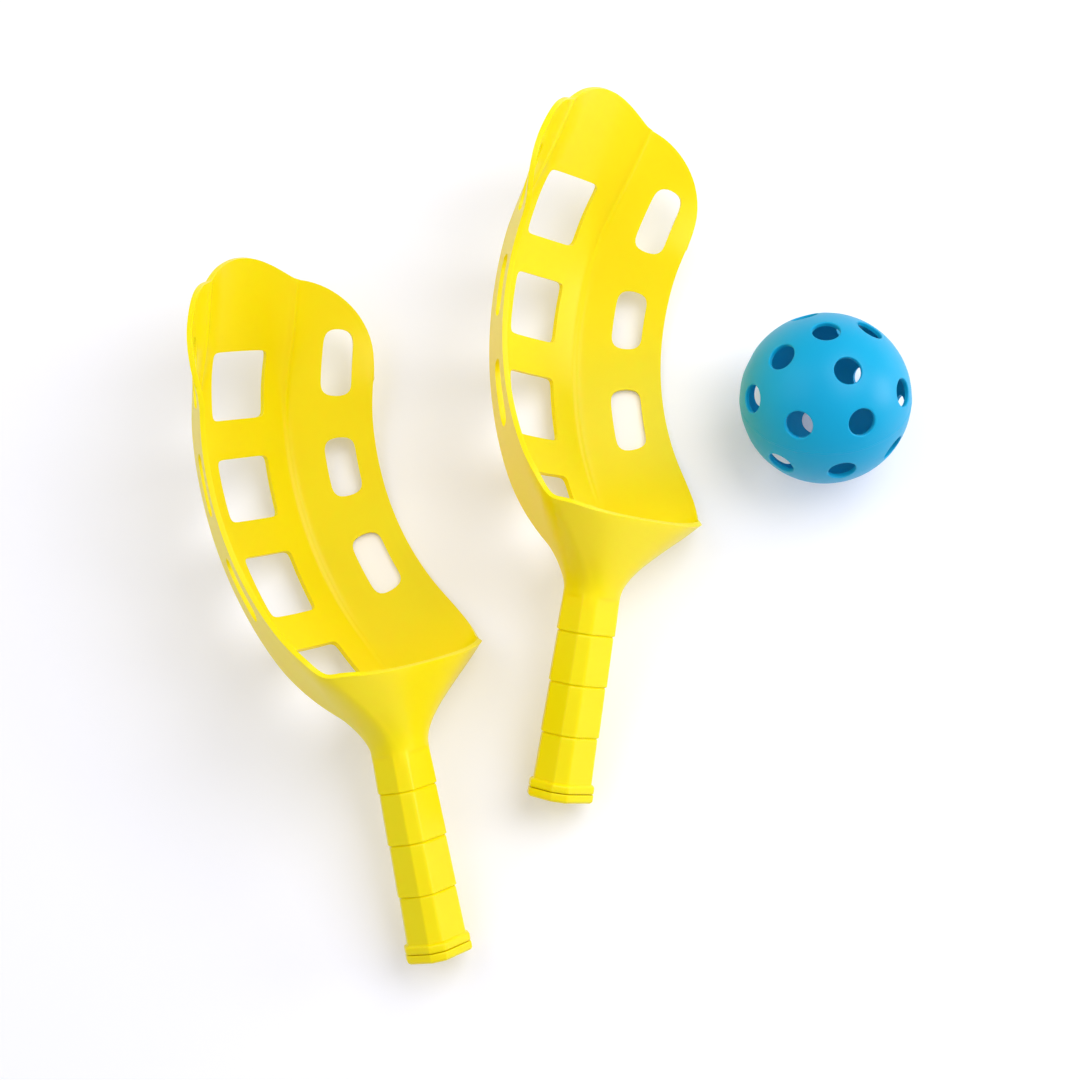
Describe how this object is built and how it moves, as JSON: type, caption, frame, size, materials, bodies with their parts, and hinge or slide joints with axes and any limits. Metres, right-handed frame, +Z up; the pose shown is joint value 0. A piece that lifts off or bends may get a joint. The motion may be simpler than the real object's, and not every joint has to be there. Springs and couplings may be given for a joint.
{
  "type": "scoop ball set",
  "caption": "Pair of slotted plastic hand scoops with ribbed grips, lying on their sides beside a hollow perforated ball, for throw-and-catch play.",
  "frame": {"origin": "centre of the set's bounding box, on the table that it lies on", "axes": "+Y from the grips towards the tips of the scoops, +X from the left scoop towards the ball, +Z up"},
  "size_m": [0.3032, 0.3678, 0.1058],
  "materials": {
    "yellow_polyethylene": "glossy injection moulded",
    "blue_polyethylene": "satin moulded"
  },
  "bodies": {
    "root": {"scoop_left": "yellow_polyethylene", "scoop_right": "yellow_polyethylene", "grip_plug_left": "yellow_polyethylene", "grip_plug_right": "yellow_polyethylene", "ball_upper_half": "blue_polyethylene", "ball_lower_half": "blue_polyethylene"}
  },
  "joints": []
}
